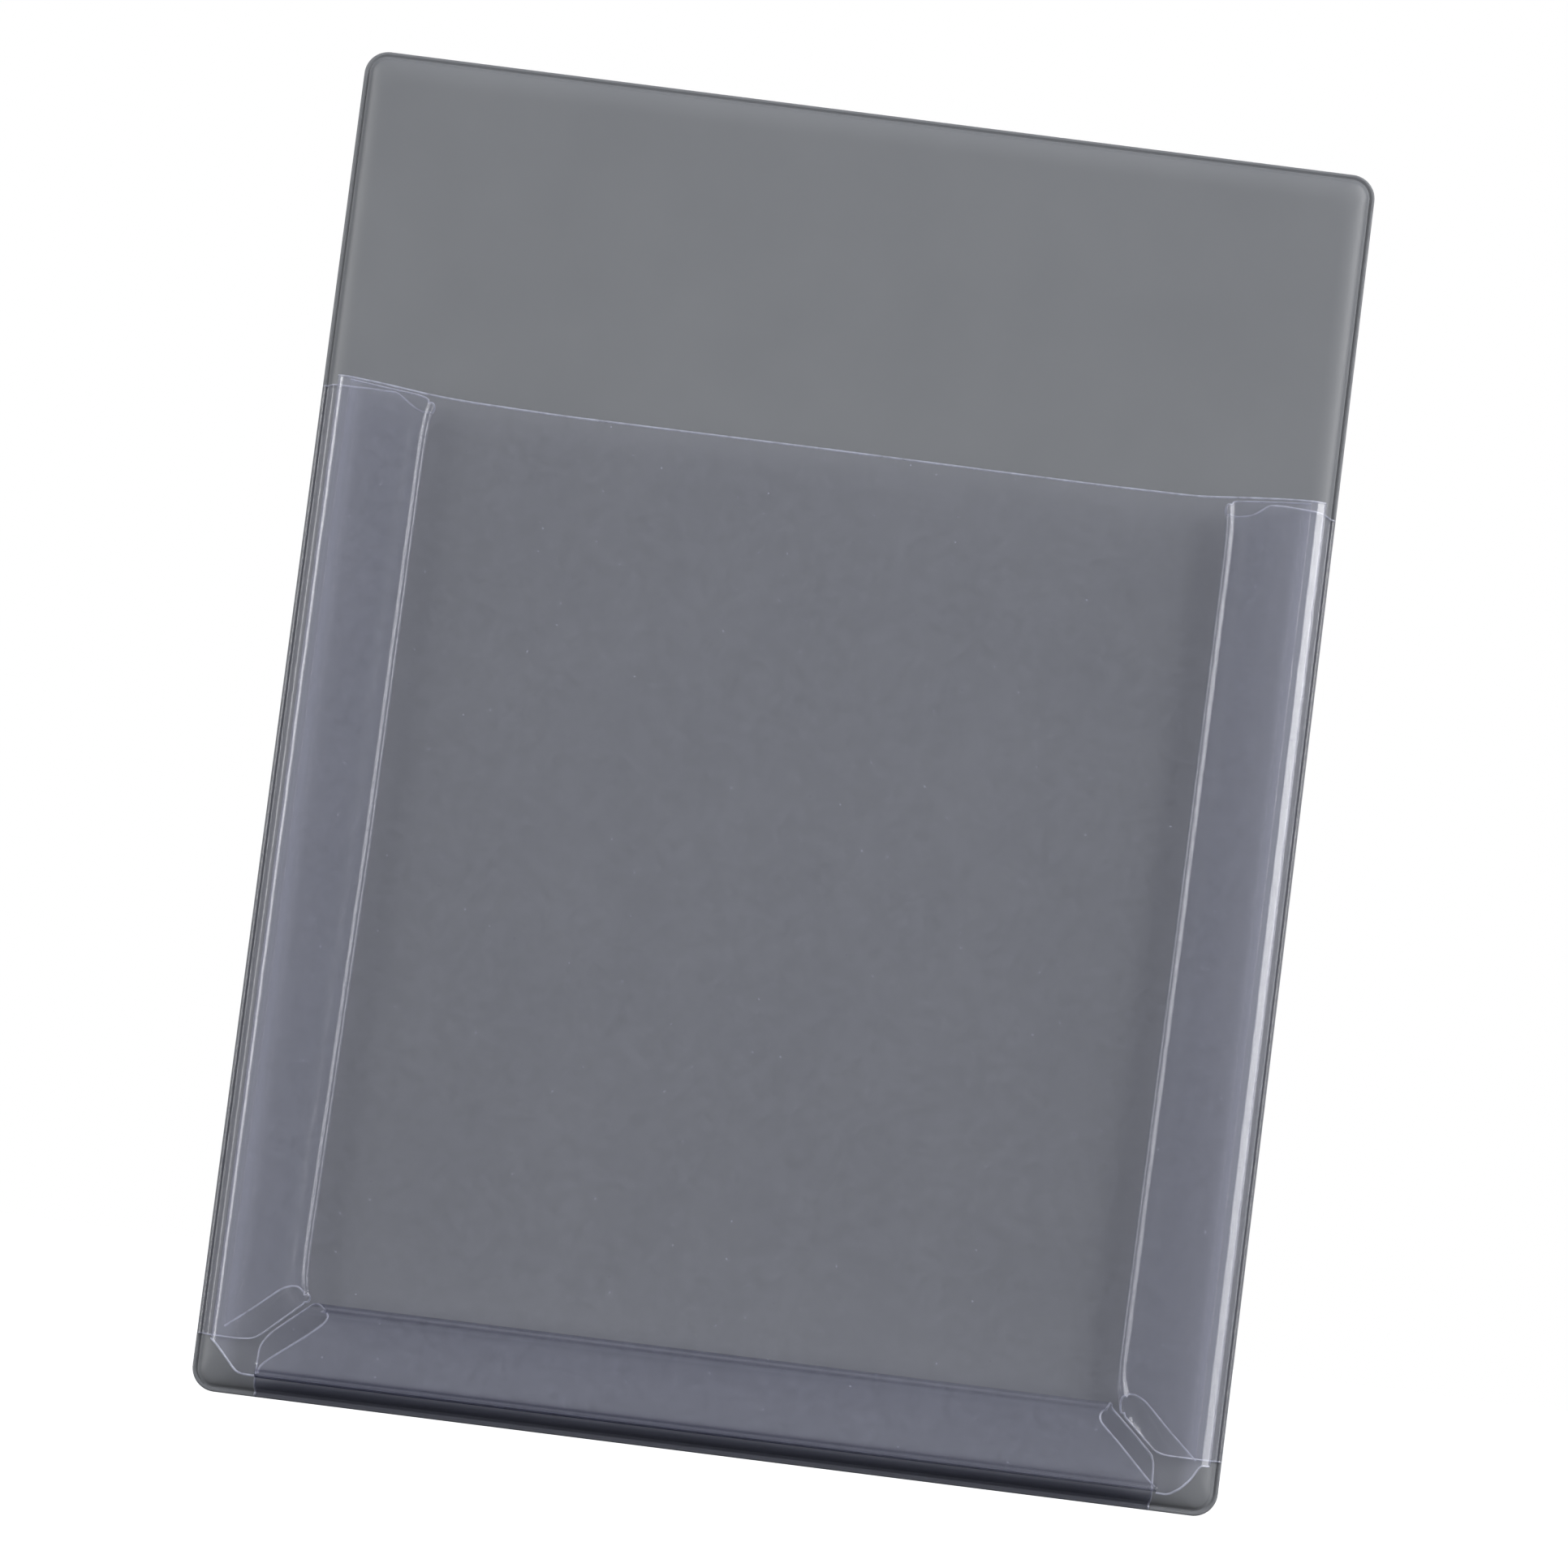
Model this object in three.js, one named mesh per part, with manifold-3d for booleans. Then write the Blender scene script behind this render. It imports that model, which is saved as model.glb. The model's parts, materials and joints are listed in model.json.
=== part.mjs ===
// Self-adhesive document pocket: a stiff grey backing panel, and a clear film pocket with folded
// gussets on three sides, welded to the panel's rim. The mouth of the pocket is at the top.
// Millimetres and degrees. X runs across the panel, Z up it, and the reader looks along +Y.
// The origin is the centre of the rear face, on the outside of the middle strip's liner.
import * as THREE from 'three';
import { mergeVertices } from 'three/addons/utils/BufferGeometryUtils.js';
import Module from 'manifold-3d';

// Backing panel
const panelWidth = 235;
const panelHeight = 310;
const panelCorner = 5.5; // radius of the rim's corners
const coverThickness = 0.4; // grey film, front and rear
const rimWidth = 1.6; // flat weld all round
const shoulderWidth = 5.5; // from the rim to the flat of the face
const shoulderCorner = 5; // corner radius where the shoulder reaches the face
const panelRise = 2; // height of the face over the rim
const boardClearance = 0.3;

// Clear film and its welds
const filmThickness = 0.4;
const filmStandOff = 0.6; // slack of the film where it climbs the shoulder
const sideCrease = 3; // from the panel's side edges to the weld creases
const bottomCrease = 3.1; // from the panel's bottom edge to the weld crease
const creaseLift = 0.25; // height of the weld creases over the face
const creaseGap = 0.35; // from a crease's axis to the film on each side of it
const sideWeldStart = 12.3; // bare corner, measured up the side edge
const bottomWeldStart = 14.7; // bare corner, measured along the bottom edge

// Gussets
const restAngle = 12; // tilt of the leaves in the relaxed pocket
const lowerLeafWidth = 22.5;
const upperLeafWidth = 21;
const foldRadius = 0.9; // outside of the bead that the film swells to along a fold
const foldOffset = 0.4; // from a fold's axis to the middle of the film that meets it
const foldGap = 0.3; // from a folded edge to the film beyond it
const sideStraightEnd = 12; // width of the side leaves' end before its mitre
const sideEndRise = 1.2; // slope of that end
const bottomStraightEnd = 9.3; // width of the bottom leaf's end before its mitre
const sideFoldStart = 12.5; // from the bottom edge to the side folds
const bottomFoldStart = 15.6; // from the side edges to the bottom fold
const upperMitre = 12.4; // across and along the mitred ends of the upper leaves
const sideMitreSetBack = 1.6; // straight end of the side leaves between the fold and the mitre
const sideTipRound = 2.2; // how far the rounded tips are drawn out past the mitres
const bottomTipRound = 4.5;
const topStraightEnd = 14.8; // width of the lower leaves' top end before its cut
const topCutWidth = 4;
const topCutDepth = 3.4;
const tipRound = 2.5; // upper leaves' rounded top corner

// Front film and mouth
const mouthBelowTop = 77.4; // from the panel's top edge to the ends of the side folds
const weldBelowMouth = 2.2; // the side welds end this much lower
const mouthDip = 2.4; // the mouth's edge between the folds
const filmDroop = 4; // the front's sag between the folds
const droopRun = 50; // over which the dip and the sag grow

// Self-adhesive strips and their liners
const stripWidth = 25;
const stripSideInset = 17.5; // from the panel's side edges
const stripEdgeInset = 30; // from the panel's top and bottom edges to the strips' middle
const stripCorner = 1.5;
const tapeThickness = 0.8;
const linerThickness = 0.15;
const linerTab = 8; // finger tab past the tape's end

// Facets
const cornerSteps = 8;
const shoulderSteps = 8;
const foldSides = 12;
const curveSteps = 6;
const droopSteps = 6;
const cutSpare = 1; // overlap that cutting shapes have past what they cut

// Levels, measured from the rear face towards the reader
const tapeBack = linerThickness;
const rearCoverBack = tapeBack + tapeThickness;
const rimBack = rearCoverBack + coverThickness;
const rimTop = rimBack + coverThickness;
const faceTop = rimTop + panelRise;
const creaseLevel = faceTop + creaseLift;

// Places of the folds at rest
const tilt = THREE.MathUtils.degToRad(restAngle);
const foldClear = foldRadius + foldGap;
const foldShift = (lowerLeafWidth - upperLeafWidth) * Math.cos(tilt) + foldOffset * Math.sin(tilt);
const halfWidth = panelWidth / 2;
const halfHeight = panelHeight / 2;
const mouthLevel = halfHeight - mouthBelowTop;
const weldTop = mouthLevel - weldBelowMouth;

const wasm = await Module();
wasm.setup();

const greyVinyl = new THREE.MeshStandardMaterial({ color: '#797b80', roughness: 0.55, metalness: 0 });
const clearVinyl = new THREE.MeshStandardMaterial({
  color: '#b9bccd', roughness: 0.12, metalness: 0, transparent: true, opacity: 0.3,
});
const greyBoard = new THREE.MeshStandardMaterial({ color: '#8f8a80', roughness: 0.9, metalness: 0 });
const foamTape = new THREE.MeshStandardMaterial({ color: '#e9e8e2', roughness: 0.8, metalness: 0 });
const linerPaper = new THREE.MeshStandardMaterial({ color: '#dccb9c', roughness: 0.45, metalness: 0 });

function solidFrom(geometry) {
  const bare = geometry.clone();
  bare.deleteAttribute('normal');
  bare.deleteAttribute('uv');
  const merged = mergeVertices(bare, 1e-5);
  return new wasm.Manifold(new wasm.Mesh({
    numProp: 3,
    vertProperties: new Float32Array(merged.attributes.position.array),
    triVerts: new Uint32Array(merged.index.array),
  }));
}

function geometryFrom(solid) {
  const mesh = solid.getMesh();
  const geometry = new THREE.BufferGeometry();
  geometry.setAttribute('position', new THREE.BufferAttribute(mesh.vertProperties, 3));
  geometry.setIndex(new THREE.BufferAttribute(mesh.triVerts, 1));
  geometry.computeVertexNormals();
  return geometry;
}

function node(name, geometry, material) {
  const mesh = new THREE.Mesh(geometry, material);
  mesh.name = name;
  return mesh;
}

function sheet(outline, thickness) {
  return new THREE.ExtrudeGeometry(outline, { depth: thickness, bevelEnabled: false, curveSegments: curveSteps });
}

function roundedRectangle(left, right, bottom, top, radius) {
  const outline = new THREE.Shape();
  outline.absarc(right - radius, top - radius, radius, 0, Math.PI / 2);
  outline.absarc(left + radius, top - radius, radius, Math.PI / 2, Math.PI);
  outline.absarc(left + radius, bottom + radius, radius, Math.PI, 1.5 * Math.PI);
  outline.absarc(right - radius, bottom + radius, radius, 1.5 * Math.PI, 2 * Math.PI);
  outline.closePath();
  return outline;
}

// A closed ring of points, inset from the panel's outline
function panelRing(inset, radius, level) {
  const ring = [];
  for (let corner = 0; corner < 4; corner += 1) {
    const signX = corner === 0 || corner === 3 ? 1 : -1;
    const signY = corner < 2 ? 1 : -1;
    for (let step = 0; step <= cornerSteps; step += 1) {
      const turn = (corner + step / cornerSteps) * (Math.PI / 2);
      const x = signX * (halfWidth - inset - radius) + radius * Math.cos(turn);
      const y = signY * (halfHeight - inset - radius) + radius * Math.sin(turn);
      ring.push(new THREE.Vector3(x, y, level));
    }
  }
  return ring;
}

// Rings of the shoulder: a quarter ellipse from the rim up to the face
function shoulderRings(inset, width, base, rise) {
  const rings = [];
  const rimCorner = Math.max(panelCorner - inset, rimWidth);
  for (let step = 0; step <= shoulderSteps; step += 1) {
    const turn = (step / shoulderSteps) * (Math.PI / 2);
    const run = 1 - Math.cos(turn);
    const radius = rimCorner + (shoulderCorner - rimCorner) * run;
    rings.push(panelRing(inset + width * run, radius, base + rise * Math.sin(turn)));
  }
  return rings;
}

// A solid through rings of equal count, closed by a flat cap at each end
function loft(rings) {
  const count = rings[0].length;
  const positions = rings.flat().flatMap((point) => [point.x, point.y, point.z]);
  const faces = [];
  for (let ring = 0; ring + 1 < rings.length; ring += 1) {
    for (let point = 0; point < count; point += 1) {
      const here = ring * count + point;
      const next = ring * count + ((point + 1) % count);
      faces.push(here, next, next + count, here, next + count, here + count);
    }
  }
  const last = (rings.length - 1) * count;
  for (let point = 1; point + 1 < count; point += 1) {
    faces.push(0, point + 1, point, last, last + point, last + point + 1);
  }
  const geometry = new THREE.BufferGeometry();
  geometry.setAttribute('position', new THREE.Float32BufferAttribute(positions, 3));
  geometry.setIndex(faces);
  return geometry;
}

function frontCover() {
  const outside = loft([
    panelRing(0, panelCorner, rimBack),
    panelRing(0, panelCorner, rimTop),
    ...shoulderRings(rimWidth, shoulderWidth, rimTop, panelRise),
  ]);
  const innerInset = rimWidth + coverThickness;
  const inside = loft([
    panelRing(innerInset, panelCorner - rimWidth, rimBack - cutSpare),
    ...shoulderRings(innerInset, shoulderWidth - coverThickness, rimBack, panelRise),
  ]);
  return geometryFrom(solidFrom(outside).subtract(solidFrom(inside)));
}

function rearCover() {
  const outline = roundedRectangle(-halfWidth, halfWidth, -halfHeight, halfHeight, panelCorner);
  return sheet(outline, coverThickness);
}

function stiffeningBoard() {
  const inset = rimWidth + coverThickness + boardClearance;
  const width = shoulderWidth - coverThickness - boardClearance;
  return loft(shoulderRings(inset, width, rimBack, panelRise - boardClearance));
}

// Welded strip of clear film: flat on the rim, then up over the shoulder to the crease
function weldProfile(crease) {
  const middle = rimWidth + shoulderWidth;
  const reach = middle - crease + creaseGap;
  const lowWidth = shoulderWidth + filmStandOff;
  const lowRise = panelRise + filmStandOff;
  const highWidth = lowWidth + filmThickness;
  const highRise = lowRise + filmThickness;
  const lowTurn = Math.PI - Math.acos(reach / lowWidth);
  const highTurn = Math.PI - Math.acos(reach / highWidth);
  const foot = Math.PI - Math.asin(filmThickness / highRise);
  const profile = new THREE.Shape();
  profile.moveTo(0, rimTop);
  profile.lineTo(0, rimTop + filmThickness);
  profile.absellipse(middle, rimTop, highWidth, highRise, foot, highTurn, true, 0);
  profile.absellipse(middle, rimTop, lowWidth, lowRise, lowTurn, Math.PI, false, 0);
  profile.closePath();
  return profile;
}

function weldStrip(crease, length) {
  const strip = sheet(weldProfile(crease), length);
  strip.translate(0, 0, -length / 2);
  return strip.rotateX(Math.PI / 2);
}

// A round folded edge, running along y
function foldedEdge(x, low, high, level) {
  const edge = new THREE.CylinderGeometry(foldRadius, foldRadius, high - low, foldSides);
  return edge.translate(x, (low + high) / 2, level);
}

// A flat leaf of film with a folded edge along one side
function leaf(outline, level, edge) {
  const plate = sheet(outline, filmThickness);
  plate.translate(0, 0, level - filmThickness / 2);
  return geometryFrom(solidFrom(plate).add(solidFrom(edge)));
}

// How far the mouth's edge and the front's sag have grown at a distance from a fold
function droopShare(distance) {
  const left = 1 - THREE.MathUtils.clamp(distance / droopRun, 0, 1);
  return 1 - left * left;
}

// Side gussets: u runs inward from the crease and s up the panel, turned over for the right side
const sideLowStart = -halfHeight + sideWeldStart;
const sideLowFold = sideLowStart + sideEndRise + lowerLeafWidth - sideStraightEnd;
const sideLowTop = weldTop - topCutDepth;
const sideHighStart = -halfHeight + sideFoldStart;
const sideHighFold = sideHighStart + upperMitre;

function sideLowerLeaf(flip) {
  const outline = new THREE.Shape();
  outline.moveTo(creaseGap, flip * sideLowStart);
  outline.lineTo(sideStraightEnd, flip * (sideLowStart + sideEndRise));
  outline.lineTo(lowerLeafWidth, flip * sideLowFold);
  outline.lineTo(lowerLeafWidth, flip * sideLowTop);
  outline.lineTo(topStraightEnd + topCutWidth, flip * sideLowTop);
  outline.lineTo(topStraightEnd, flip * weldTop);
  outline.lineTo(creaseGap, flip * weldTop);
  const ends = [flip * sideLowFold, flip * sideLowTop];
  return leaf(outline, 0, foldedEdge(lowerLeafWidth, Math.min(...ends), Math.max(...ends), foldOffset));
}

function sideUpperLeaf(flip) {
  const tipStart = foldClear + tipRound;
  const tipLevel = mouthLevel - mouthDip * droopShare(upperLeafWidth - tipStart);
  const mitreStart = upperLeafWidth - sideMitreSetBack;
  const mitreEnd = mitreStart - upperMitre;
  const outline = new THREE.Shape();
  outline.moveTo(-mitreStart, flip * sideHighStart);
  outline.lineTo(-upperLeafWidth, flip * sideHighStart);
  outline.lineTo(-upperLeafWidth, flip * mouthLevel);
  outline.lineTo(-tipStart, flip * tipLevel);
  outline.quadraticCurveTo(-foldClear, flip * tipLevel, -foldClear, flip * (tipLevel - tipRound));
  outline.lineTo(-foldClear, flip * sideHighFold);
  outline.quadraticCurveTo(
    -(foldClear + mitreEnd) / 2, flip * (sideHighFold + sideTipRound), -mitreEnd, flip * sideHighFold,
  );
  outline.closePath();
  const ends = [flip * sideHighStart, flip * mouthLevel];
  const edge = foldedEdge(-upperLeafWidth, Math.min(...ends), Math.max(...ends), 2 * foldOffset);
  return leaf(outline, foldOffset, edge);
}

// Bottom gusset: u runs up from the crease and s along the bottom edge, alike at both ends
const bottomLowHalf = halfWidth - bottomWeldStart;
const bottomLowFold = bottomLowHalf - (lowerLeafWidth - bottomStraightEnd);
const bottomHighHalf = halfWidth - bottomFoldStart;
const bottomHighFold = bottomHighHalf - upperMitre;

function bottomLowerLeaf() {
  const outline = new THREE.Shape();
  outline.moveTo(creaseGap, -bottomLowHalf);
  outline.lineTo(bottomStraightEnd, -bottomLowHalf);
  outline.lineTo(lowerLeafWidth, -bottomLowFold);
  outline.lineTo(lowerLeafWidth, bottomLowFold);
  outline.lineTo(bottomStraightEnd, bottomLowHalf);
  outline.lineTo(creaseGap, bottomLowHalf);
  return leaf(outline, 0, foldedEdge(lowerLeafWidth, -bottomLowFold, bottomLowFold, foldOffset));
}

function bottomUpperLeaf() {
  const mitreEnd = upperLeafWidth - upperMitre;
  const tipMiddle = -(foldClear + mitreEnd) / 2;
  const outline = new THREE.Shape();
  outline.moveTo(-upperLeafWidth, -bottomHighHalf);
  outline.lineTo(-upperLeafWidth, bottomHighHalf);
  outline.lineTo(-mitreEnd, bottomHighFold);
  outline.quadraticCurveTo(tipMiddle, bottomHighFold - bottomTipRound, -foldClear, bottomHighFold);
  outline.lineTo(-foldClear, -bottomHighFold);
  outline.quadraticCurveTo(tipMiddle, -bottomHighFold + bottomTipRound, -mitreEnd, -bottomHighFold);
  outline.closePath();
  const edge = foldedEdge(-upperLeafWidth, -bottomHighHalf, bottomHighHalf, 2 * foldOffset);
  return leaf(outline, foldOffset, edge);
}

// Front film. Its frame has x = 0 at the middle and y = 0 on the bottom fold's axis.
const frontHalf = halfWidth - sideCrease - foldShift;
const frontBase = -halfHeight + bottomCrease + foldShift;

function frontOutline() {
  const mouth = mouthLevel - frontBase;
  const sideEnd = sideHighStart - frontBase;
  const edgeX = frontHalf - foldClear;
  const bottomEnd = bottomHighHalf + foldGap;
  const outline = new THREE.Shape();
  outline.moveTo(-edgeX, mouth);
  outline.lineTo(-edgeX, sideEnd - foldGap);
  outline.lineTo(-frontHalf, sideEnd - foldGap);
  outline.lineTo(-frontHalf + sideEnd - foldGap, 0);
  outline.lineTo(-bottomEnd, 0);
  outline.lineTo(-bottomEnd, foldClear);
  outline.lineTo(bottomEnd, foldClear);
  outline.lineTo(bottomEnd, 0);
  outline.lineTo(frontHalf - sideEnd + foldGap, 0);
  outline.lineTo(frontHalf, sideEnd - foldGap);
  outline.lineTo(edgeX, sideEnd - foldGap);
  outline.lineTo(edgeX, mouth);
  outline.quadraticCurveTo(edgeX - droopRun / 2, mouth - mouthDip, edgeX - droopRun, mouth - mouthDip);
  outline.lineTo(-edgeX + droopRun, mouth - mouthDip);
  outline.quadraticCurveTo(-edgeX + droopRun / 2, mouth - mouthDip, -edgeX, mouth);
  return outline;
}

// Grid lines across the front: close together where the film curves, wide apart where it is flat
function gridLines(low, high, curvedLow, curvedHigh) {
  const lines = [];
  for (let step = 0; step <= droopSteps; step += 1) {
    const along = (droopRun * step) / droopSteps;
    if (curvedLow) lines.push(low + along);
    if (curvedHigh) lines.push(high - along);
  }
  if (!curvedLow) lines.push(low);
  if (!curvedHigh) lines.push(high);
  return lines.sort((a, b) => a - b);
}

function frontFilm() {
  const top = mouthLevel - frontBase + cutSpare;
  const columns = gridLines(-frontHalf, frontHalf, true, true);
  const rows = gridLines(0, top, true, false);
  const columnSpans = columns.length - 1;
  const rowSpans = rows.length - 1;
  const blank = new THREE.BoxGeometry(1, 1, filmThickness, columnSpans, rowSpans, 1);
  const points = blank.attributes.position;
  for (let index = 0; index < points.count; index += 1) {
    const x = columns[Math.round((points.getX(index) + 0.5) * columnSpans)];
    const y = rows[Math.round((points.getY(index) + 0.5) * rowSpans)];
    const share = droopShare(frontHalf + x) * droopShare(frontHalf - x) * droopShare(y);
    points.setXYZ(index, x, y, points.getZ(index) + foldOffset - filmDroop * share);
  }
  const cutter = sheet(frontOutline(), 2 * (filmDroop + filmThickness + cutSpare));
  cutter.translate(0, 0, -(filmDroop + filmThickness + cutSpare));
  return geometryFrom(solidFrom(blank).intersect(solidFrom(cutter)));
}

// Groups that stand at a gusset's crease and folds, each turned by its part of the rest angle
function gusset(names, turn, x, y, lower, upper) {
  const atCrease = new THREE.Group();
  atCrease.position.set(x, y, creaseLevel);
  atCrease.rotation.set(0, 0, turn);
  const lowerTurn = new THREE.Group();
  lowerTurn.rotation.y = -tilt;
  lowerTurn.add(node(names[0], lower, clearVinyl));
  const atInnerFold = new THREE.Group();
  atInnerFold.position.set(lowerLeafWidth, 0, foldOffset);
  atInnerFold.rotation.y = 2 * tilt;
  atInnerFold.add(node(names[1], upper, clearVinyl));
  const atOuterFold = new THREE.Group();
  atOuterFold.position.set(-upperLeafWidth, 0, 2 * foldOffset);
  atOuterFold.rotation.y = -tilt;
  atInnerFold.add(atOuterFold);
  lowerTurn.add(atInnerFold);
  atCrease.add(lowerTurn);
  return { group: atCrease, outerFold: atOuterFold };
}

function backingPanel() {
  const panel = new THREE.Group();
  const rear = node('rear_cover', rearCover(), greyVinyl);
  rear.position.z = rearCoverBack;
  panel.add(rear);
  panel.add(node('stiffening_board', stiffeningBoard(), greyBoard));
  panel.add(node('front_cover', frontCover(), greyVinyl));
  return panel;
}

function filmPocket() {
  const pocket = new THREE.Group();
  const sideLength = weldTop - sideLowStart;
  const sideMiddle = (weldTop + sideLowStart) / 2;
  const leftWeld = node('left_weld_strip', weldStrip(sideCrease, sideLength), clearVinyl);
  leftWeld.position.set(-halfWidth, sideMiddle, 0);
  const rightWeld = node('right_weld_strip', weldStrip(sideCrease, sideLength), clearVinyl);
  rightWeld.position.set(halfWidth, sideMiddle, 0);
  rightWeld.rotation.z = Math.PI;
  const bottomWeld = node('bottom_weld_strip', weldStrip(bottomCrease, 2 * bottomLowHalf), clearVinyl);
  bottomWeld.position.set(0, -halfHeight, 0);
  bottomWeld.rotation.z = Math.PI / 2;
  pocket.add(leftWeld, rightWeld, bottomWeld);

  const sideX = halfWidth - sideCrease;
  const left = gusset(
    ['left_lower_leaf', 'left_upper_leaf'], 0, -sideX, 0, sideLowerLeaf(1), sideUpperLeaf(1),
  );
  const right = gusset(
    ['right_lower_leaf', 'right_upper_leaf'], Math.PI, sideX, 0, sideLowerLeaf(-1), sideUpperLeaf(-1),
  );
  const bottom = gusset(
    ['bottom_lower_leaf', 'bottom_upper_leaf'], Math.PI / 2, 0, -halfHeight + bottomCrease,
    bottomLowerLeaf(), bottomUpperLeaf(),
  );
  const front = node('pocket_front', frontFilm(), clearVinyl);
  front.rotation.z = -Math.PI / 2;
  bottom.outerFold.add(front);
  pocket.add(left.group, right.group, bottom.group);
  return pocket;
}

function adhesiveStrips() {
  const strips = new THREE.Group();
  const rowY = halfHeight - stripEdgeInset;
  const rows = [['upper', rowY], ['middle', 0], ['lower', -rowY]];
  const half = halfWidth - stripSideInset;
  const halfStrip = stripWidth / 2;
  for (const [name, y] of rows) {
    const tapeOutline = roundedRectangle(-half, half, -halfStrip, halfStrip, stripCorner);
    const tape = node(`${name}_tape`, sheet(tapeOutline, tapeThickness), foamTape);
    tape.position.set(0, y, tapeBack);
    const linerOutline = roundedRectangle(-half - linerTab, half, -halfStrip, halfStrip, stripCorner);
    const liner = node(`${name}_liner`, sheet(linerOutline, linerThickness), linerPaper);
    liner.position.set(0, y, 0);
    strips.add(tape, liner);
  }
  return strips;
}

// The pieces are laid out with z towards the reader, and the whole is stood upright
const documentPocket = new THREE.Group();
documentPocket.add(backingPanel(), filmPocket(), adhesiveStrips());
documentPocket.rotation.x = Math.PI / 2;

export default documentPocket;
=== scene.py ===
import json
import math

import bpy
import numpy as np
from mathutils import Matrix, Vector, noise


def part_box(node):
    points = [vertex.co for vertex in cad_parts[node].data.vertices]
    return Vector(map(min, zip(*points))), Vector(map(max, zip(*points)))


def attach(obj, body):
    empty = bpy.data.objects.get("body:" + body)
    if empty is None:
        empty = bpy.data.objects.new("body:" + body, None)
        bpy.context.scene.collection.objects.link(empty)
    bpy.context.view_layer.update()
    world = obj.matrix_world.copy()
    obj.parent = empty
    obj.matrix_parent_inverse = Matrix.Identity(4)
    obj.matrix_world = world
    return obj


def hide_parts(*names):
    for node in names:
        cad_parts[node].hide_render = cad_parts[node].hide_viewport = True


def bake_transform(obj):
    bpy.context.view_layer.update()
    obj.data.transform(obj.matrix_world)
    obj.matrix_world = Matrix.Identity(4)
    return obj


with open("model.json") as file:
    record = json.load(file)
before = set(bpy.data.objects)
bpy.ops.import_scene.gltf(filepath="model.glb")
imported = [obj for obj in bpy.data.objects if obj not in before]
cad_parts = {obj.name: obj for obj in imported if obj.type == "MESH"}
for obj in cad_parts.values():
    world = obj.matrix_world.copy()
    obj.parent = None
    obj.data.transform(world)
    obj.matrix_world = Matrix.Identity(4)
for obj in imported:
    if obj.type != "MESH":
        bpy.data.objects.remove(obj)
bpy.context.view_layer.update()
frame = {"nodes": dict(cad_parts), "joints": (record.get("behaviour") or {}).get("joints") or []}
scene = bpy.context.scene
scene.view_settings.view_transform = "Standard"
scene.cycles.transparent_max_bounces = 48      # the folded film is up to a dozen surfaces deep
print("frame loaded,", len(frame["nodes"]), "nodes")

# Sizes are in millimetres. A level is a height above the back, towards the reader,
# and an inset is a distance inwards from the panel's edge.
mm = 0.001
joints = {joint["name"]: joint["pos_m"] for joint in frame["joints"]}
faceLow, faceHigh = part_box("front_cover")
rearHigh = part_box("rear_cover")[1]
halfWidth, halfHeight = faceHigh.x / mm, faceHigh.z / mm
faceLevel, flangeBack = -faceLow.y / mm, -faceHigh.y / mm
rearLevel = -rearHigh.y / mm


def newPiece(name, mesh, *materials):
    piece = bpy.data.objects.new(name, mesh)
    scene.collection.objects.link(piece)
    for material in materials:
        mesh.materials.append(material)
    return piece


def newMesh(name, points, faces):
    mesh = bpy.data.meshes.new(name)
    mesh.from_pydata([Vector(point) * mm for point in points], [], faces)
    mesh.update()
    mesh.shade_smooth()
    return mesh


def wobble(*place):
    return noise.noise(Vector(place))


# Materials

def newMaterial(name):
    material = bpy.data.materials.new(name)
    material.use_nodes = True
    material.node_tree.nodes.clear()
    return material, material.node_tree


def addNode(tree, kind, settings=None, **inputs):
    node = tree.nodes.new(kind)
    for key, value in (settings or {}).items():
        setattr(node, key, value)
    for key, value in inputs.items():
        socket = node.inputs[int(key[1:])] if key[0] == "i" and key[1:].isdigit() else node.inputs[key]
        if isinstance(value, bpy.types.NodeSocket):
            tree.links.new(value, socket)
        else:
            socket.default_value = value
    return node


def maths(tree, operation, *values):
    inputs = {f"i{place}": value for place, value in enumerate(values)}
    return addNode(tree, "ShaderNodeMath", {"operation": operation}, **inputs).outputs[0]


def mapRange(tree, value, fromRange, toRange=(0, 1), interpolation="LINEAR"):
    node = addNode(tree, "ShaderNodeMapRange", {"interpolation_type": interpolation}, Value=value)
    for label, number in zip(("From Min", "From Max", "To Min", "To Max"), (*fromRange, *toRange)):
        node.inputs[label].default_value = number
    return node.outputs["Result"]


noiseRange = (0.3, 0.7)      # where most of a noise's values lie


def grainTexture(tree, scale, detail=3.0, stretch=(1, 1, 1)):
    place = addNode(tree, "ShaderNodeTexCoord").outputs["Object"]
    mapped = addNode(tree, "ShaderNodeMapping", Vector=place, Scale=stretch).outputs[0]
    return addNode(tree, "ShaderNodeTexNoise", Vector=mapped, Scale=scale, Detail=detail).outputs["Fac"]


def solidMaterial(name, look):
    material, tree = newMaterial(name)
    stretch = look.get("stretch", (1, 1, 1))
    mottle = grainTexture(tree, look["mottleScale"], detail=4.0, stretch=stretch)
    ramp = addNode(tree, "ShaderNodeValToRGB", Fac=mottle)
    for stop, position, colour in zip(ramp.color_ramp.elements, noiseRange, (look["dark"], look["light"])):
        stop.position, stop.color = position, (*colour, 1)
    grain = grainTexture(tree, look["grainScale"], detail=2.0, stretch=stretch)
    bump = addNode(tree, "ShaderNodeBump", Height=grain, Strength=look["bump"], Distance=look["bumpDepth"])
    shader = addNode(tree, "ShaderNodeBsdfPrincipled", Normal=bump.outputs[0])
    tree.links.new(ramp.outputs[0], shader.inputs["Base Color"])
    tree.links.new(mapRange(tree, grain, noiseRange, look["roughness"]), shader.inputs["Roughness"])
    shader.inputs["Specular IOR Level"].default_value = look["specular"]
    out = addNode(tree, "ShaderNodeOutputMaterial")
    tree.links.new(shader.outputs[0], out.inputs["Surface"])
    return material


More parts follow.
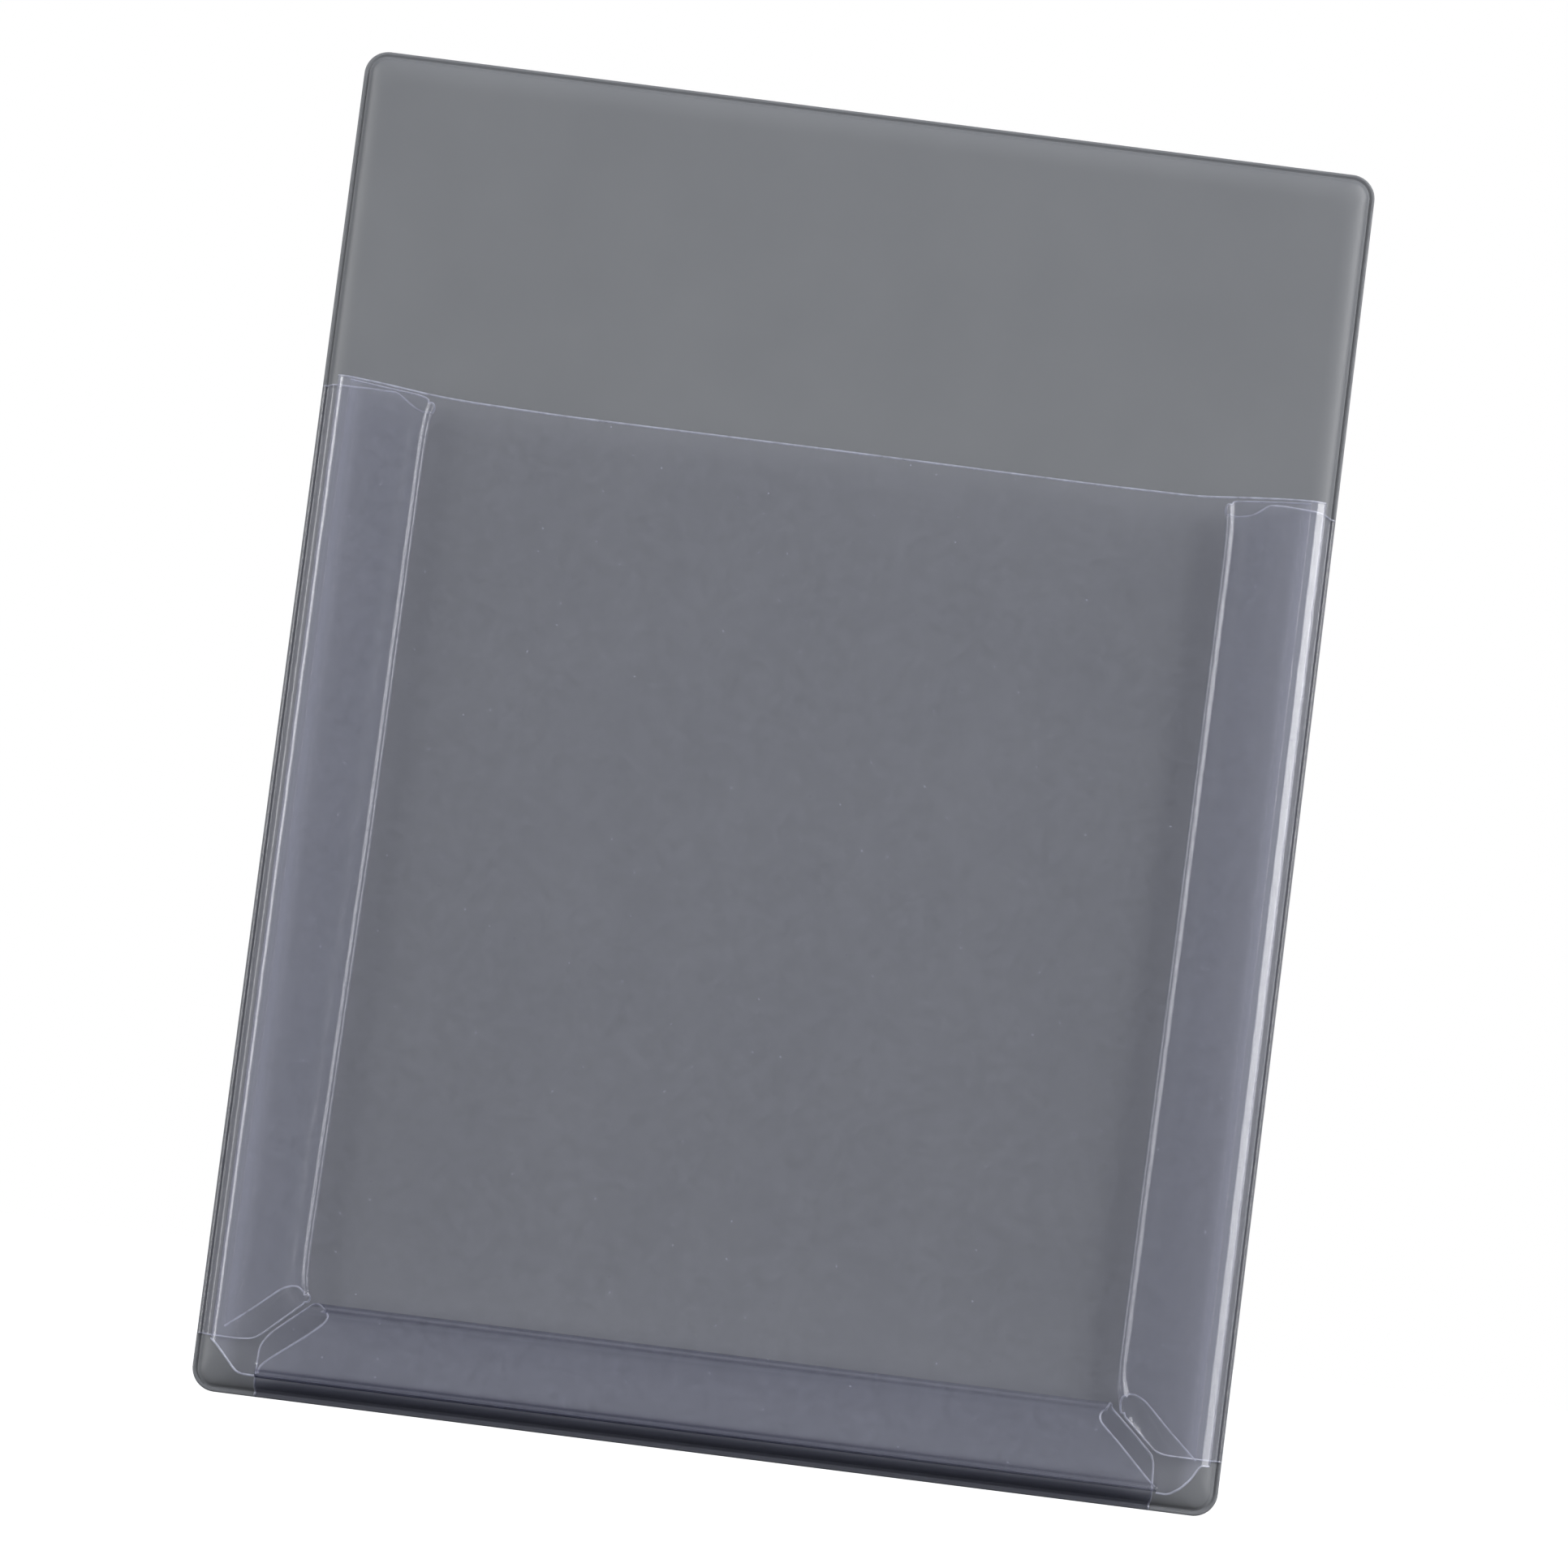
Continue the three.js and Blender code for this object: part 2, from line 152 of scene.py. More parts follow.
vinylLook = {
    "dark": (0.181, 0.188, 0.203), "light": (0.192, 0.199, 0.214), "mottleScale": 40,
    "grainScale": 2600, "bump": 0.25, "bumpDepth": 0.00003, "roughness": (0.38, 0.5), "specular": 0.4,
}
boardLook = {
    "dark": (0.22, 0.2, 0.17), "light": (0.33, 0.31, 0.27), "mottleScale": 260,
    "grainScale": 900, "bump": 0.4, "bumpDepth": 0.0001, "roughness": (0.8, 0.95), "specular": 0.2,
}
foamLook = {
    "dark": (0.74, 0.73, 0.69), "light": (0.83, 0.82, 0.79), "mottleScale": 900,
    "grainScale": 3200, "bump": 0.7, "bumpDepth": 0.00015, "roughness": (0.7, 0.9), "specular": 0.25,
}
linerLook = {
    "dark": (0.66, 0.54, 0.28), "light": (0.77, 0.66, 0.39), "mottleScale": 300, "stretch": (0.25, 1, 1),
    "grainScale": 1500, "bump": 0.3, "bumpDepth": 0.00004, "roughness": (0.34, 0.5), "specular": 0.5,
}
greyVinyl = solidMaterial("greyVinyl", vinylLook)
greyBoard = solidMaterial("greyBoard", boardLook)
whiteFoam = solidMaterial("whiteFoam", foamLook)
linerPaper = solidMaterial("linerPaper", linerLook)

# the darker steep tint is painted shade, used only where the points call for it
filmLook = {
    "tint": (0.985, 0.985, 0.99), "paintedShadeTint": (0.3, 0.31, 0.44), "straightOn": 0.045, "mirrorPower": 4.5,
    "haze": 0.034, "hazeColour": (0.71, 0.73, 0.92), "mottleScale": 420, "mottle": 0.2,
    "steepHaze": 0.5, "hazePower": 3.0, "creaseHaze": 0.05,
    "gloss": 0.14, "waveScale": 60, "wave": 0.12, "waveDepth": 0.0006,
}
edgeLook = dict(filmLook, straightOn=0.12, haze=0.3, hazeColour=(0.72, 0.75, 0.92), mottle=0.35, gloss=0.3)
speckLook = {"scale": 160, "radius": 0.00022, "bare": 0.55, "cover": 0.12}


# Dust on the front: one small spot in some of the cells of a grid laid over it
def speckTexture(tree, look):
    place = addNode(tree, "ShaderNodeTexCoord").outputs["Object"]
    laid = addNode(tree, "ShaderNodeMapping", Vector=place, Rotation=(math.pi / 2, 0, 0)).outputs[0]
    cells = addNode(tree, "ShaderNodeTexVoronoi", {"voronoi_dimensions": "2D"}, Vector=laid,
                    Scale=look["scale"])
    chance = addNode(tree, "ShaderNodeSeparateXYZ", Vector=cells.outputs["Color"]).outputs["X"]
    size = mapRange(tree, chance, (look["bare"], 1.0), (0.0, look["radius"] * look["scale"]))
    spot = maths(tree, "LESS_THAN", cells.outputs["Distance"], size)
    return maths(tree, "MULTIPLY", spot, look["cover"])


# Clear film: see-through straight on, mirror-like at a glancing angle, with a little violet haze.
# Painted shade: a point value darkens the see-through colour where the film is steep, and rolled says where
# it is creased white.
def filmMaterial(name, look, specks=None):
    material, tree = newMaterial(name)
    waves = grainTexture(tree, look["waveScale"], detail=1.0)
    bump = addNode(tree, "ShaderNodeBump", Height=waves, Strength=look["wave"],
                   Distance=look["waveDepth"]).outputs[0]
    facing = addNode(tree, "ShaderNodeLayerWeight", Blend=0.5, Normal=bump).outputs["Facing"]
    steep = maths(tree, "POWER", facing, look["mirrorPower"])
    mirror = maths(tree, "MULTIPLY_ADD", steep, 1 - look["straightOn"], look["straightOn"])
    cover, mottle = look["haze"], look["mottle"]
    grain = grainTexture(tree, look["mottleScale"])
    cloudy = mapRange(tree, grain, noiseRange, (cover * (1 - mottle), cover * (1 + mottle)))
    steeper = maths(tree, "MULTIPLY", maths(tree, "POWER", facing, look["hazePower"]),
                    cover * look["steepHaze"])
    haze = maths(tree, "ADD", steeper, cloudy)
    if specks:
        rolled = addNode(tree, "ShaderNodeAttribute", {"attribute_name": "rolled"}).outputs["Fac"]
        white = maths(tree, "MULTIPLY_ADD", rolled, look["creaseHaze"], haze)
        haze = maths(tree, "ADD", white, speckTexture(tree, specks))
    # painted shade: the see-through colour turns darker on steep film, as far as the point value says
    deep = addNode(tree, "ShaderNodeAttribute", {"attribute_name": "deep"}).outputs["Fac"]
    through = addNode(tree, "ShaderNodeMix", {"data_type": "RGBA"}, i0=maths(tree, "MULTIPLY", facing, deep),
                      i6=(*look["tint"], 1), i7=(*look["paintedShadeTint"], 1)).outputs[2]
    clear = addNode(tree, "ShaderNodeBsdfTransparent", Color=through).outputs[0]
    milky = addNode(tree, "ShaderNodeBsdfDiffuse", Color=(*look["hazeColour"], 1)).outputs[0]
    body = addNode(tree, "ShaderNodeMixShader", i0=haze, i1=clear, i2=milky).outputs[0]
    shine = addNode(tree, "ShaderNodeBsdfGlossy", Roughness=look["gloss"], Normal=bump).outputs[0]
    whole = addNode(tree, "ShaderNodeMixShader", i0=mirror, i1=body, i2=shine).outputs[0]
    addNode(tree, "ShaderNodeOutputMaterial", Surface=whole)
    return material


clearFilm = filmMaterial("clearFilm", filmLook)
frontFilm = filmMaterial("frontFilm", filmLook, speckLook)
cutEdge = filmMaterial("cutEdge", edgeLook)
print("materials made")


# Backing panel: two grey covers welded round a rim, with the board between them

def roundedRing(inset, corner, level, look):
    ring = []
    x, z = look["halfWidth"] - inset, look["halfHeight"] - inset
    for turn in range(4):
        cornerX, cornerZ = (1, -1, -1, 1)[turn] * (x - corner), (1, 1, -1, -1)[turn] * (z - corner)
        nextX, nextZ = (-1, -1, 1, 1)[turn] * (x - corner), (1, -1, -1, 1)[turn] * (z - corner)
        for step in range(look["cornerSteps"] + 1):
            angle = math.pi / 2 * (turn + step / look["cornerSteps"])
            ring.append((cornerX + corner * math.cos(angle), -level, cornerZ + corner * math.sin(angle)))
        endX, endZ = ring[-1][0], ring[-1][2]
        angle = math.pi / 2 * (turn + 1)
        nextX, nextZ = nextX + corner * math.cos(angle), nextZ + corner * math.sin(angle)
        for step in range(1, look["sideSteps"]):
            part = step / look["sideSteps"]
            ring.append((endX + (nextX - endX) * part, -level, endZ + (nextZ - endZ) * part))
    return [(px + look.get("centreX", 0), py, pz + look.get("centreZ", 0)) for px, py, pz in ring]


# Rings of the same number of points, one for each step of a section, skinned and capped
def ringMesh(name, profile, look, capFirst, capLast):
    points, faces = [], []
    for inset, corner, level in profile:
        points += roundedRing(inset, corner, level, look)
    count = len(points) // len(profile)
    for ring in range(len(profile) - 1):
        for step in range(count):
            low, high = ring * count, (ring + 1) * count
            after = (step + 1) % count
            faces.append((low + step, low + after, high + after, high + step))
    if capFirst:
        faces.append(tuple(reversed(range(count))))
    if capLast:
        faces.append(tuple(range((len(profile) - 1) * count, len(profile) * count)))
    return newMesh(name, points, faces)


faceLook = {
    "halfWidth": halfWidth, "halfHeight": halfHeight, "cornerSteps": 14, "sideSteps": 40,
    "corner": 5.5, "flangeTop": 1.66, "edgeRound": 0.14,
    "grooveAt": 1.12, "grooveWidth": 0.5, "grooveDepth": 0.15,
    "rim": 1.6, "rimTop": 1.75, "shoulder": 5.5, "shoulderCorner": 5.0, "shoulderSteps": 20, "wall": 0.4,
    "edgeShare": 0.3, "grooveShares": (-1, -0.6, -0.3, 0, 0.3, 0.6), "groovePower": 1.3, "shoulderFrom": 4,
    "flatRings": (1.5, 6, 20, 45),
}


def faceProfile(look):
    top, edge, outer = look["flangeTop"], look["edgeRound"], look["corner"]
    bevel = edge * look["edgeShare"]
    profile = [(0, outer, flangeBack), (0, outer, top - edge)]
    profile += [(bevel, outer - bevel, top - bevel), (edge, outer - edge, top)]
    for part in look["grooveShares"]:
        inset = look["grooveAt"] + part * look["grooveWidth"] / 2
        drop = look["grooveDepth"] * (1 - abs(part)) ** look["groovePower"]
        profile.append((inset, outer - inset, top - drop))
    rise = faceLevel - look["rimTop"]
    rimCorner = outer - look["rim"]
    first = math.radians(look["shoulderFrom"])
    for step in range(look["shoulderSteps"] + 1):
        angle = first + (math.pi / 2 - first) * step / look["shoulderSteps"]
        run = 1 - math.cos(angle)
        corner = rimCorner + (look["shoulderCorner"] - rimCorner) * run
        level = look["rimTop"] + rise * math.sin(angle)
        profile.append((look["rim"] + look["shoulder"] * run, corner, level))
    flat = look["rim"] + look["shoulder"]
    return profile + [(flat + more, look["shoulderCorner"], faceLevel) for more in look["flatRings"]]


panelFace = newPiece("panelFace", ringMesh("panelFace", faceProfile(faceLook), faceLook, False, True),
                     greyVinyl)
wall = panelFace.modifiers.new("wall", "SOLIDIFY")
wall.thickness, wall.offset = faceLook["wall"] * mm, -1
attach(panelFace, "panel")
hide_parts("front_cover")

backLook = dict(faceLook, edgeRound=0.12, grooveAt=1.3, grooveWidth=0.7, grooveDepth=0.1,
                grooveShares=(-1, -0.5, 0, 0.5, 1), flatRings=(2.5, 8, 30), flatCorner=3.5, gap=0.01)


def backProfile(look):
    edge, corner = look["edgeRound"], look["corner"]
    bevel = edge * look["edgeShare"]
    profile = [(0, corner, flangeBack - look["gap"]), (0, corner, rearLevel + edge)]
    profile += [(bevel, corner - bevel, rearLevel + bevel), (edge, corner - edge, rearLevel)]
    for part in look["grooveShares"]:
        inset = look["grooveAt"] + part * look["grooveWidth"] / 2
        profile.append((inset, corner - inset, rearLevel + look["grooveDepth"] * (1 - part * part)))
    return profile + [(inset, look["flatCorner"], rearLevel) for inset in look["flatRings"]]


panelBack = newPiece("panelBack", ringMesh("panelBack", backProfile(backLook), backLook, True, True),
                     greyVinyl)
panelBack.data.flip_normals()
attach(panelBack, "panel")
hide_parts("rear_cover")

boardNode = frame["nodes"]["stiffening_board"]
boardNode.data.materials.clear()
boardNode.data.materials.append(greyBoard)
print("panel covers made")


# Geometry Nodes

def newNodes(name, inputs):
    tree = bpy.data.node_groups.new(name, "GeometryNodeTree")
    for label, kind in inputs:
        tree.interface.new_socket(name=label, in_out="INPUT", socket_type=kind)
    tree.interface.new_socket(name="Result", in_out="OUTPUT", socket_type="NodeSocketGeometry")
    return tree, tree.nodes.new("NodeGroupInput").outputs, tree.nodes.new("NodeGroupOutput").inputs


# The values go in by socket identifier before the first evaluation, and the result becomes a plain mesh.
def runNodes(piece, tree, values):
    modifier = piece.modifiers.new(tree.name, "NODES")
    modifier.node_group = tree
    for socket in tree.interface.items_tree:
        if socket.in_out == "INPUT" and socket.name in values:
            modifier[socket.identifier] = values[socket.name]
    graph = bpy.context.evaluated_depsgraph_get()
    made = bpy.data.meshes.new_from_object(piece.evaluated_get(graph), preserve_all_data_layers=True,
                                           depsgraph=graph)
    piece.modifiers.clear()
    piece.data = made
    return piece


beadLook = {"inset": 0.45, "radius": 0.4, "flatness": 0.55, "level": 1.6, "cornerSteps": 12, "sides": 10}


# Weld bead: a flat round bead along the panel's outline
def weldBeadNodes(look):
    tree, given, result = newNodes("weldBead", (
        ("Width", "NodeSocketFloat"), ("Height", "NodeSocketFloat"), ("Corner", "NodeSocketFloat"),
        ("Bead Radius", "NodeSocketFloat"), ("Flatness", "NodeSocketFloat"), ("Level", "NodeSocketFloat"),
        ("Vinyl", "NodeSocketMaterial")))
    outline = addNode(tree, "GeometryNodeCurvePrimitiveQuadrilateral", Width=given["Width"],
                      Height=given["Height"])
    rounded = addNode(tree, "GeometryNodeFilletCurve", {"mode": "POLY"}, Curve=outline.outputs[0],
                      Count=look["cornerSteps"], Radius=given["Corner"])
    circle = addNode(tree, "GeometryNodeCurvePrimitiveCircle", Resolution=look["sides"],
                     Radius=given["Bead Radius"])
    bead = addNode(tree, "GeometryNodeCurveToMesh", Curve=rounded.outputs[0])
    tree.links.new(circle.outputs[0], bead.inputs["Profile Curve"])
    scale = addNode(tree, "ShaderNodeCombineXYZ", X=1, Y=1, Z=given["Flatness"])
    flat = addNode(tree, "GeometryNodeTransform", Geometry=bead.outputs[0], Scale=scale.outputs[0])
    move = addNode(tree, "ShaderNodeCombineXYZ", Y=maths(tree, "MULTIPLY", given["Level"], -1.0))
    stand = addNode(tree, "GeometryNodeTransform", Geometry=flat.outputs[0], Translation=move.outputs[0],
                    Rotation=(math.pi / 2, 0, 0))
    smooth = addNode(tree, "GeometryNodeSetShadeSmooth", Geometry=stand.outputs[0])
    real = addNode(tree, "GeometryNodeRealizeInstances", Geometry=smooth.outputs[0])
    finish = addNode(tree, "GeometryNodeSetMaterial", Geometry=real.outputs[0], Material=given["Vinyl"])
    tree.links.new(finish.outputs[0], result[0])
    return tree


weldBead = runNodes(newPiece("weldBead", bpy.data.meshes.new("weldBead")), weldBeadNodes(beadLook), {
    "Width": 2 * (halfWidth - beadLook["inset"]) * mm, "Height": 2 * (halfHeight - beadLook["inset"]) * mm,
    "Corner": (faceLook["corner"] - beadLook["inset"]) * mm, "Bead Radius": beadLook["radius"] * mm,
    "Flatness": beadLook["flatness"], "Level": beadLook["level"] * mm, "Vinyl": greyVinyl})
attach(weldBead, "panel")
print("weld bead made,", len(weldBead.data.polygons), "faces")


def compare(tree, kind, operation, value, limit):
    node = addNode(tree, "FunctionNodeCompare", {"data_type": kind, "operation": operation})
    socketType = {"INT": "INT", "FLOAT": "VALUE"}[kind]
    first, second = [socket for socket in node.inputs if socket.type == socketType][:2]
    tree.links.new(value, first)
    second.default_value = limit
    return node.outputs[0]


filmSize = {
    "thickness": 0.3, "merge": 1e-6, "markFrom": 0.9, "swellScale": 160.0, "swell": (0.6, 1.3),
    "beadSides": 6, "sharp": 62,
}


# Film: a thin body from its middle surface, with a rounded bead along the edges marked as cut
def filmNodes(look):
    tree, given, result = newNodes("filmSheet", (
        ("Sheet", "NodeSocketGeometry"), ("Thickness", "NodeSocketFloat"), ("Edge Radius", "NodeSocketFloat"),
        ("Film", "NodeSocketMaterial"), ("Cut Edge", "NodeSocketMaterial")))
    normal = addNode(tree, "GeometryNodeInputNormal")
    down = addNode(tree, "ShaderNodeVectorMath", {"operation": "SCALE"}, i0=normal.outputs[0],
                   Scale=maths(tree, "MULTIPLY", given["Thickness"], -0.5))
    under = addNode(tree, "GeometryNodeSetPosition", Geometry=given["Sheet"], Offset=down.outputs[0])
    over = addNode(tree, "GeometryNodeExtrudeMesh", {"mode": "FACES"}, Mesh=under.outputs[0],
                   Individual=False)
    tree.links.new(given["Thickness"], over.inputs["Offset Scale"])
    turned = addNode(tree, "GeometryNodeFlipFaces", Mesh=under.outputs[0])
    pair = addNode(tree, "GeometryNodeJoinGeometry")
    tree.links.new(over.outputs[0], pair.inputs[0])
    tree.links.new(turned.outputs[0], pair.inputs[0])
    body = addNode(tree, "GeometryNodeMergeByDistance", Geometry=pair.outputs[0],
                   Distance=look["merge"])

    neighbours = addNode(tree, "GeometryNodeInputMeshEdgeNeighbors")
    border = compare(tree, "INT", "EQUAL", neighbours.outputs[0], 1)
    marked = addNode(tree, "GeometryNodeInputNamedAttribute", {"data_type": "FLOAT"}, Name="cutEdge")
    isCut = compare(tree, "FLOAT", "GREATER_THAN", marked.outputs[0], look["markFrom"])
    both = addNode(tree, "FunctionNodeBooleanMath", {"operation": "AND"}, i0=border, i1=isCut)
    path = addNode(tree, "GeometryNodeMeshToCurve", Mesh=given["Sheet"], Selection=both.outputs[0])
    uneven = addNode(tree, "ShaderNodeTexNoise", Scale=look["swellScale"], Detail=1.0)
    width = mapRange(tree, uneven.outputs[0], noiseRange, look["swell"])
    swelling = addNode(tree, "GeometryNodeSetCurveRadius", Curve=path.outputs[0], Radius=width)
    circle = addNode(tree, "GeometryNodeCurvePrimitiveCircle", Resolution=look["beadSides"],
                     Radius=given["Edge Radius"])
    bead = addNode(tree, "GeometryNodeCurveToMesh", Curve=swelling.outputs[0])
    tree.links.new(circle.outputs[0], bead.inputs["Profile Curve"])
    bead.inputs["Fill Caps"].default_value = True
    tagged = addNode(tree, "GeometryNodeStoreNamedAttribute", {"data_type": "BOOLEAN", "domain": "FACE"},
                     Geometry=bead.outputs[0], Name="isCut", Value=True)

    whole = addNode(tree, "GeometryNodeJoinGeometry")
    tree.links.new(body.outputs[0], whole.inputs[0])
    tree.links.new(tagged.outputs[0], whole.inputs[0])
    smooth = addNode(tree, "GeometryNodeSetShadeSmooth", Geometry=whole.outputs[0])
    angle = addNode(tree, "GeometryNodeInputMeshEdgeAngle")
    steep = compare(tree, "FLOAT", "GREATER_THAN", angle.outputs[0], math.radians(look["sharp"]))
    sharp = addNode(tree, "GeometryNodeSetShadeSmooth", {"domain": "EDGE"}, Geometry=smooth.outputs[0],
                    Selection=steep)
    sharp.inputs["Shade Smooth"].default_value = False
    real = addNode(tree, "GeometryNodeRealizeInstances", Geometry=sharp.outputs[0])
    film = addNode(tree, "GeometryNodeSetMaterial", Geometry=real.outputs[0], Material=given["Film"])
    tag = addNode(tree, "GeometryNodeInputNamedAttribute", {"data_type": "BOOLEAN"}, Name="isCut")
    edge = addNode(tree, "GeometryNodeSetMaterial", Geometry=film.outputs[0], Selection=tag.outputs[0],
                   Material=given["Cut Edge"])
    tree.links.new(edge.outputs[0], result[0])
    return tree


filmTree = filmNodes(filmSize)


# points, marks and spots are grids, columns across the film and rows along it
def filmPiece(name, points, marks, edgeRadius, film, **spots):
    columns, rows = marks.shape
    faces = []
    for column in range(columns - 1):
        for row in range(rows - 1):
            corner = column * rows + row
            faces.append((corner, corner + rows, corner + rows + 1, corner + 1))
    mesh = newMesh(name, points.reshape(-1, 3), faces)
    for label, values in dict(spots, cutEdge=marks).items():
        spot = mesh.attributes.new(label, "FLOAT", "POINT")
        spot.data.foreach_set("value", values.astype(np.float32).ravel())
    piece = runNodes(newPiece(name, mesh), filmTree, {
        "Thickness": filmSize["thickness"] * mm, "Edge Radius": edgeRadius * mm,
        "Film": film, "Cut Edge": cutEdge})
    print(name, len(piece.data.polygons), "faces")
    return piece


def smoothPath(points, step):
    made = []
    points = [np.array(point, float) for point in points]
    ends = [2 * points[0] - points[1]] + points + [2 * points[-1] - points[-2]]
    for before, start, end, after in zip(ends, ends[1:], ends[2:], ends[3:]):
        count = max(1, round(np.linalg.norm(end - start) / step))
        for part in np.arange(count) / count:
            made.append(0.5 * (2 * start + (end - before) * part
                               + (2 * before - 5 * start + 4 * end - after) * part ** 2
                               + (3 * start - before - 3 * end + after) * part ** 3))
    return made + [points[-1]]


roundingSteps = 9


# A cut end as a line of points, with its corners rounded off
def endLine(points, inset, rounding):
    near = inset + np.linspace(-rounding, rounding, roundingSteps)
    return float(np.mean(np.interp(near, [p[0] for p in points], [p[1] for p in points])))


def rowsBetween(low, high, look):
    fine = np.array(look["fineRows"])
    middle = np.linspace(low + fine[-1], high - fine[-1], look["rows"])
    return np.concatenate([low + fine[:-1], middle, high - fine[:-1][::-1]])


def endMarks(count):
    marks = np.zeros(count)
    marks[[0, -1]] = 1
    return marks


def ease(distance, run):
    return 1 - (1 - np.clip(distance / run, 0, 1)) ** 2


def sidePlace(side, inset, level, along):
    if side == "bottom":
        return along, -level, inset - halfHeight
    return (inset - halfWidth if side == "left" else halfWidth - inset), -level, along


# Pocket: welded strips, gussets and front

outerInset = halfHeight + joints["bottom_outer_fold"][2] / mm
pocketLook = {
    "mouth": 77.6, "lean": 12.0, "foldOffset": 0.4, "seam": 5.2, "step": 0.25, "leafSteps": 6, "rows": 120,
    "fineRows": (0, 0.3, 0.7, 1.3, 2.2, 3.4), "bulbFrom": -16.0, "bulbReach": 0.7, "foldReach": 1.0,
    "bulbWobble": 0.08, "wobbleAlong": 0.17, "wobbleAcross": 0.5, "wobbleSeed": 3.7, "wobblePower": 6,
    "endRun": 3.0, "endWobble": 2.0, "footRound": 0.8, "topRound": 0.5, "edgeRadius": 0.23,
    "bendBefore": 0.6, "bendShort": 0.2,
}
# Section of each gusset at its swollen inner fold, from the lower leaf round to the upper one,
# as distance from the fold's axis and height over it
lowLeaf = ((-9.0, -2.05), (-5.0, -1.12), (-2.8, -0.56), (-1.7, -0.36), (-1.0, -0.46), (-0.1, -0.7),
           (0.3, -0.45))
highLeaf = ((-2.2, 0.34), (-3.2, 0.6), (-5.0, 1.1), (-9.0, 2.0))
foldShape = {
    "left": lowLeaf + ((0.5, 0.05), (0.3, 0.52), (-0.08, 0.7), (-0.4, 0.64), (-1.05, 0.32),
                       (-1.5, 0.27)) + highLeaf,
    "right": lowLeaf + ((0.42, 0.1), (0.25, 0.62), (0.02, 0.77), (-0.25, 0.72), (-1.25, 0.32),
                        (-1.65, 0.27)) + highLeaf,
    "bottom": ((-9.0, -1.15), (-5.0, -0.9), (-2.8, -0.62), (-1.9, -0.5), (-1.2, -0.72), (-0.3, -0.95),
               (0.5, -0.7), (0.8, 0.0), (0.66, 0.6), (0.2, 0.94), (-0.25, 0.9), (-0.75, 0.46),
               (-1.4, 0.26)) + highLeaf[1:],
}
# Section of the film from the rim to the seam of the lower leaf, as inset and level
rimBead = ((0.22, 1.64), (0.36, 1.76), (0.56, 1.9), (0.78, 2.0), (0.95, 2.0), (1.15, 1.9), (1.38, 1.97))
sideRise = rimBead + ((1.7, 2.45), (2.1, 3.1), (2.6, 3.72), (3.3, 4.08), (4.1, 4.24), (5.2, 4.47))
leftRise = rimBead + ((1.7, 2.45), (2.1, 3.1), (2.56, 3.84), (2.66, 3.93), (2.78, 3.97), (3.3, 4.08),
                      (4.1, 4.24), (5.2, 4.47))
weldShape = {
    "left": leftRise, "right": sideRise,
    "bottom": rimBead + ((1.6, 2.4), (1.95, 3.5), (2.4, 4.75), (2.95, 5.95), (3.6, 6.95), (4.3, 7.6),
                         (5.2, 7.85)),
}

# Cut ends of the leaves, as inset across the gusset against the distance from the panel's next edge (foot)
# or the height over the mouth's corner (top)
leafEnds = {
    "left": {
        "lowFoot": ((0, 12.9), (10, 13.0), (13, 13.4), (14.7, 14.4), (24.4, 23.4)),
        "highFoot": ((5.3, 14.2), (6.9, 15.7), (12.5, 20.3), (18.5, 25.6), (20.8, 26.6), (22.6, 26.4),
                     (23.8, 25.0)),
        "lowTop": ((0, -1.5), (3, -1.1), (11, -1.2), (17.7, -1.5), (22.7, -4.9), (24.4, -5.4)),
        "highTop": ((4.5, -0.4), (15, -1.2), (22.6, -1.7), (24.6, -2.1), (25.9, -3.2)),
    },
    "right": {
        "lowFoot": ((0, 12.9), (13.8, 13.2), (16, 13.9), (25.6, 22.5)),
        "highFoot": ((5.3, 11.6), (6.4, 12.6), (13.9, 19.3), (18, 23.3), (20.1, 25.2), (22.2, 26.1),
                     (24.1, 25.9), (25.4, 25.0)),
        "lowTop": ((0, -3.1), (5, -1.7), (12.6, -1.6), (16, -1.9), (19, -4.3), (20.3, -5.0), (23, -5.6)),
        "highTop": ((4.5, -1.0), (12.5, -1.4), (21.3, -2.0), (24.2, -2.3), (25.4, -3.2)),
    },
    "bottom": {
        "lowFoot": ((0, 14.9), (11.5, 15.1), (13.2, 15.7), (15.7, 17.6), (23.3, 26.4)),
        "highFoot": ((5.8, 15.9), (8, 16.1), (10.3, 18.6), (16, 25.8), (18.4, 28.4), (19.9, 29.7),
                     (21, 29.7), (22.4, 28.7), (23.4, 27.0)),
        "lowTop": ((0, 15.4), (11, 16), (13, 16.7), (16.6, 20.5), (22.5, 27.1)),
        "highTop": ((5.7, 14.9), (7.8, 17.3), (15.2, 24.9), (18.7, 28.8), (19.9, 29.5), (21.2, 29.3),
                    (22.7, 27.8)),
    },
}
# How far the inner fold strays from its axis along the gusset, and more at its two ends,
# and where the outer fold lies from its axis
foldDrift = {"left": (-1.7, -0.1, 0.3), "right": (1.3, 0.4, -0.1), "bottom": (-2.7, -2.5, -2.4)}
endDrift = {"left": (1.4, 1.0), "right": (-1.5, 0.8), "bottom": (0.0, 0.0)}
outerShift = {"left": 0.7, "right": 0.7, "bottom": 1.2}
# where the upper leaf stops short of the outer fold, inside the front's rolled edge
leafStop = {"left": 1.95, "right": 1.95, "bottom": 0.7}
# painted shade: how dark the steep film is painted at the inner fold, over how far, and across the welded
# strip, only at the bottom where shade falls
foldPaintedShade = {"left": (0, 0, 0), "right": (0, 0, 0), "bottom": (1.2, 1.2, 0.4)}
foldPaintedShadeRun = (2.2, 3.4)
weldPaintedShade = {"left": (0, 0, 0), "right": (0, 0, 0), "bottom": (0.5, 0.8, 1.3)}
weldPaintedShadeInset = (2.4, 3.6, 4.6)


def foldPlace(side, fold):
    x, y, z = joints[side + fold]
    return (halfHeight + z / mm if side == "bottom" else halfWidth - abs(x) / mm), -y / mm


